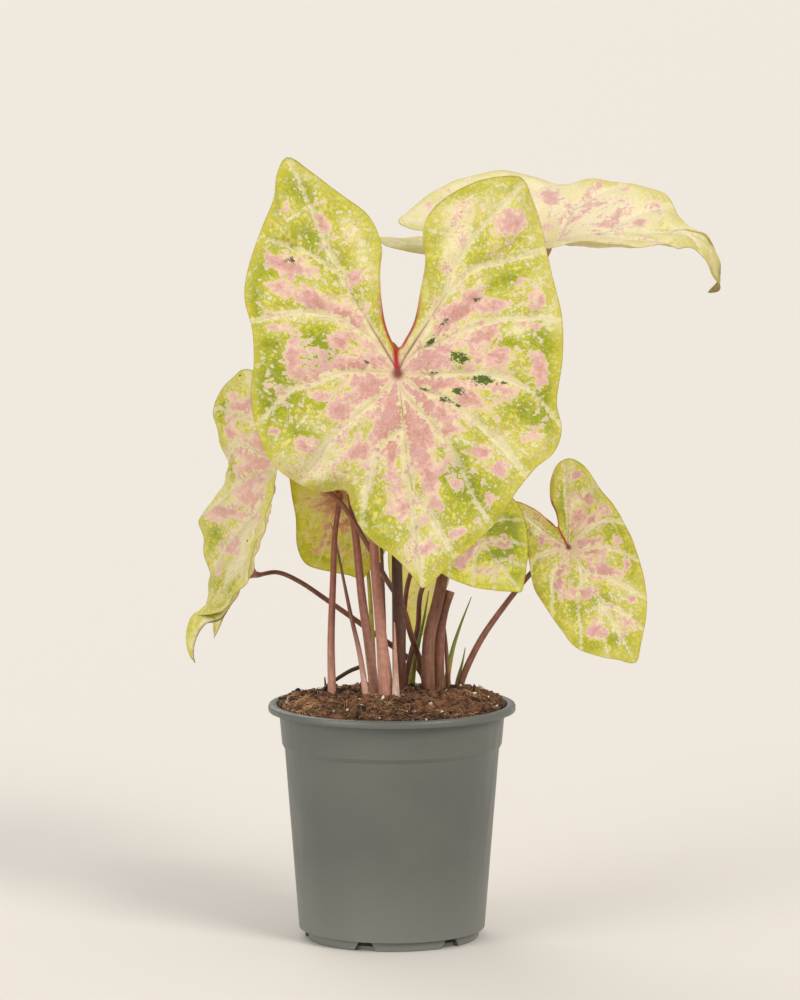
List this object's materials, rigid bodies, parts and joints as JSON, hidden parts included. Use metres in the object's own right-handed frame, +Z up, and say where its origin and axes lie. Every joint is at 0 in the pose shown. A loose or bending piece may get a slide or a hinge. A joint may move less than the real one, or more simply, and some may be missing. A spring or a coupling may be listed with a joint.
{
  "type": "potted caladium",
  "caption": "Caladium house plant with heart-shaped marbled leaves on slender stalks, rooted in potting mix in a round plastic nursery pot.",
  "frame": {"origin": "middle of the pot's flat underside", "axes": "+Z up, from the pot's underside to the leaves; -Y is the side the largest leaf faces; +X is to the right when seen from that side"},
  "size_m": [0.2612, 0.1509, 0.3771],
  "materials": {
    "leaf_blade": "satin",
    "young_leaf": "satin",
    "brown_shoot": "satin",
    "pot_plastic": "satin",
    "potting_mix": "rough",
    "pale_sheath": "satin",
    "green_shoot": "satin",
    "withered_stem": "matte",
    "dark_leaf_stalk": "satin",
    "leaf_stalk": "satin"
  },
  "bodies": {
    "root": {"blade_front": "leaf_blade", "blade_inner_left": "leaf_blade", "blade_inner_right": "leaf_blade", "blade_left": "leaf_blade", "blade_lower_left": "leaf_blade", "blade_lower_right": "leaf_blade", "blade_pale": "young_leaf", "blade_rear_left": "leaf_blade", "blade_right": "leaf_blade", "blade_upper_right": "leaf_blade", "cut_stub": "brown_shoot", "nursery_pot": "pot_plastic", "potting_mix": "potting_mix", "sheath": "pale_sheath", "shoot_olive": "green_shoot", "shoot_rear": "brown_shoot", "shoot_thin": "brown_shoot", "shoot_yellow": "green_shoot", "spear_brown": "brown_shoot", "spear_green": "green_shoot", "spear_rolled": "green_shoot", "spear_small": "green_shoot", "sprout": "withered_stem", "stalk_front": "dark_leaf_stalk", "stalk_inner_left": "leaf_stalk", "stalk_inner_right": "leaf_stalk", "stalk_left": "leaf_stalk", "stalk_lower_left": "leaf_stalk", "stalk_lower_right": "leaf_stalk", "stalk_pale": "leaf_stalk", "stalk_rear_left": "leaf_stalk", "stalk_right": "leaf_stalk", "stalk_upper_right": "leaf_stalk", "withered_stem": "withered_stem"}
  },
  "joints": []
}
